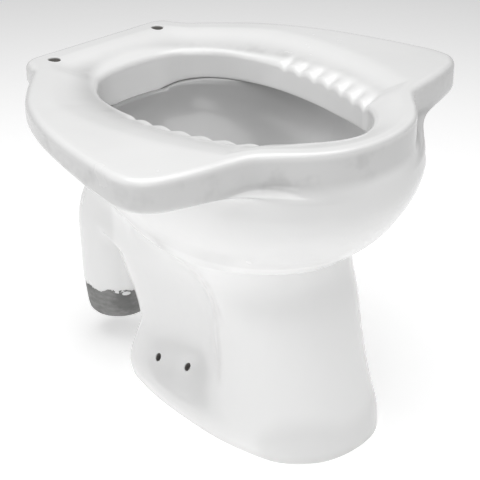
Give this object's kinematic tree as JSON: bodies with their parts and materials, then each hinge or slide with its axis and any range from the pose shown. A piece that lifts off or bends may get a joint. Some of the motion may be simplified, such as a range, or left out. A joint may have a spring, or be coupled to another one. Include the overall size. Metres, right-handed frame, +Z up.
{
  "type": "floor-standing toilet pan",
  "caption": "Floor-standing sit-or-squat toilet pan in white vitreous china: wide foot-rest deck with ribbed treads, oval rimmed bowl, hollow pedestal, rear over-and-down trap outlet",
  "frame": {"origin": "centre of the bounding box in plan, on the floor", "axes": "+Z up, the user faces -Y (bowl nose towards -Y, outlet horn towards +Y), X across; mirror plane X = 0"},
  "size_m": [0.488, 0.449, 0.371],
  "materials": {
    "white_glaze": "clear-gloss white sanitary glaze over vitreous china",
    "bisque": "unglazed or thinly glazed vitreous body, hidden inside the pan",
    "unglazed_end": "bare grey fired body with runs of glaze at its upper edge"
  },
  "bodies": {
    "root": {"foot_rest_deck": "white_glaze", "deck_soffit": "white_glaze", "flushing_rim": "white_glaze", "flush_pocket": "bisque", "flush_inlet": "white_glaze", "bowl_basin": "white_glaze", "belly_shell": "white_glaze", "pedestal_foot": "white_glaze", "trap_seal_bend": "bisque", "trap_riser": "bisque", "outlet_crown": "white_glaze", "outlet_leg": "white_glaze", "outlet_spigot": "unglazed_end"}
  },
  "joints": []
}
